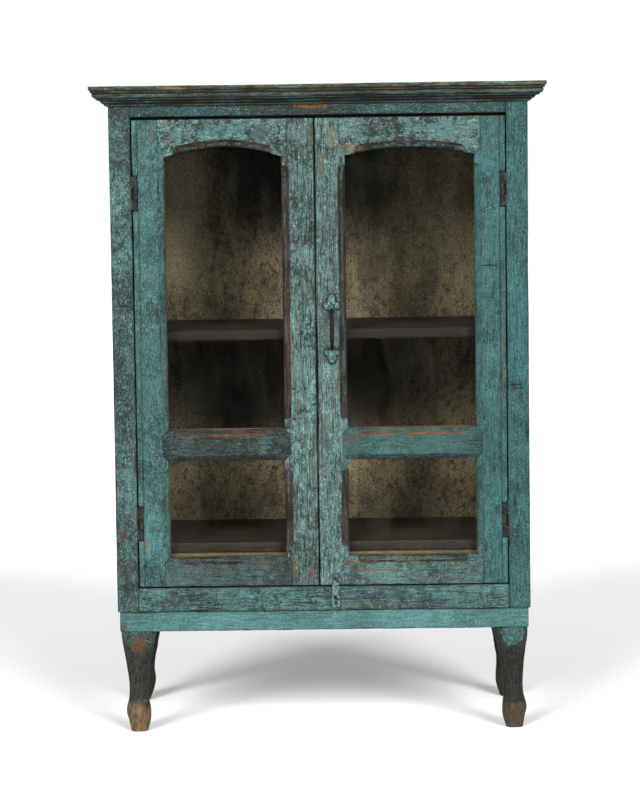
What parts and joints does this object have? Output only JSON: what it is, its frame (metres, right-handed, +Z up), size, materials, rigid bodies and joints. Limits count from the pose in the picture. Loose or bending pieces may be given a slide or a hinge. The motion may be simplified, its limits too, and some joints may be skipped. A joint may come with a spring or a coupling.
{
  "type": "glazed cabinet",
  "caption": "Painted timber china cabinet on shaped legs, with a moulded cornice, paired glazed doors with arched upper panes, a shelf, a pull handle and a strap hasp.",
  "frame": {"origin": "on the floor, at the middle of the footprint of the whole cabinet", "axes": "+Z up, the doors face -Y, +X to the right seen from the front"},
  "size_m": [0.904, 0.44, 1.29],
  "materials": {
    "teal_paint": "cracked matt teal paint worn through to grey-brown timber",
    "dark_paint": "dark soiled green-black paint worn to brown timber",
    "aged_wood": "unpainted aged timber, mottled olive brown, matt",
    "iron": "dark rusty iron with remains of paint",
    "glass": "old clear sheet glass, slightly dusty"
  },
  "bodies": {
    "carcass": {"leg_front_left": "dark_paint", "leg_front_right": "dark_paint", "leg_rear_left": "dark_paint", "leg_rear_right": "dark_paint", "base_rail_front": "teal_paint", "base_rail_rear": "teal_paint", "base_rail_left": "teal_paint", "base_rail_right": "teal_paint", "post_front_left": "teal_paint", "post_front_right": "teal_paint", "post_rear_left": "teal_paint", "post_rear_right": "teal_paint", "frame_top_rail": "teal_paint", "frame_bottom_rail": "teal_paint", "side_top_rail_left": "teal_paint", "side_top_rail_right": "teal_paint", "side_bottom_rail_left": "teal_paint", "side_bottom_rail_right": "teal_paint", "side_panel_left": "teal_paint", "side_panel_right": "teal_paint", "rear_top_rail": "aged_wood", "rear_bottom_rail": "aged_wood", "back_boards": "aged_wood", "top_board": "dark_paint", "floor_boards": "aged_wood", "cornice_front": "dark_paint", "cornice_left": "dark_paint", "cornice_right": "dark_paint", "door_stop_top": "aged_wood", "door_stop_bottom": "aged_wood", "shelf": "aged_wood", "side_cleats": "aged_wood", "shelf_back_cleat": "aged_wood", "hinge_frame_leaves": "iron", "hinge_pins": "iron", "hinge_frame_screws": "iron"},
    "left_door": {"left_hinge_stile": "teal_paint", "left_meeting_stile": "teal_paint", "left_top_rail": "teal_paint", "left_mid_rail": "teal_paint", "left_bottom_rail": "teal_paint", "left_upper_glass": "glass", "left_lower_glass": "glass", "left_glazing_beads": "aged_wood", "left_hinge_leaves": "iron", "left_hinge_screws": "iron"},
    "right_door": {"right_hinge_stile": "teal_paint", "right_meeting_stile": "teal_paint", "right_top_rail": "teal_paint", "right_mid_rail": "teal_paint", "right_bottom_rail": "teal_paint", "right_upper_glass": "glass", "right_lower_glass": "glass", "right_glazing_beads": "aged_wood", "right_hinge_leaves": "iron", "right_hinge_screws": "iron", "pull_handle": "iron", "handle_nails": "iron", "hasp_staple": "iron"},
    "hasp": {"hasp": "iron"}
  },
  "joints": [
    {"name": "left_door_swing", "type": "hinge", "parent": "carcass", "child": "left_door", "pos_m": [-0.3615, -0.175, 0.76], "axis": [0, 0, -1], "range_deg": [0, 100]},
    {"name": "right_door_swing", "type": "hinge", "parent": "carcass", "child": "right_door", "pos_m": [0.3615, -0.175, 0.76], "axis": [0, 0, 1], "range_deg": [0, 100]},
    {"name": "hasp_swing", "type": "hinge", "parent": "right_door", "child": "hasp", "pos_m": [0.0235, -0.1855, 0.315], "axis": [-1, 0, 0], "range_deg": [0, 150]}
  ]
}
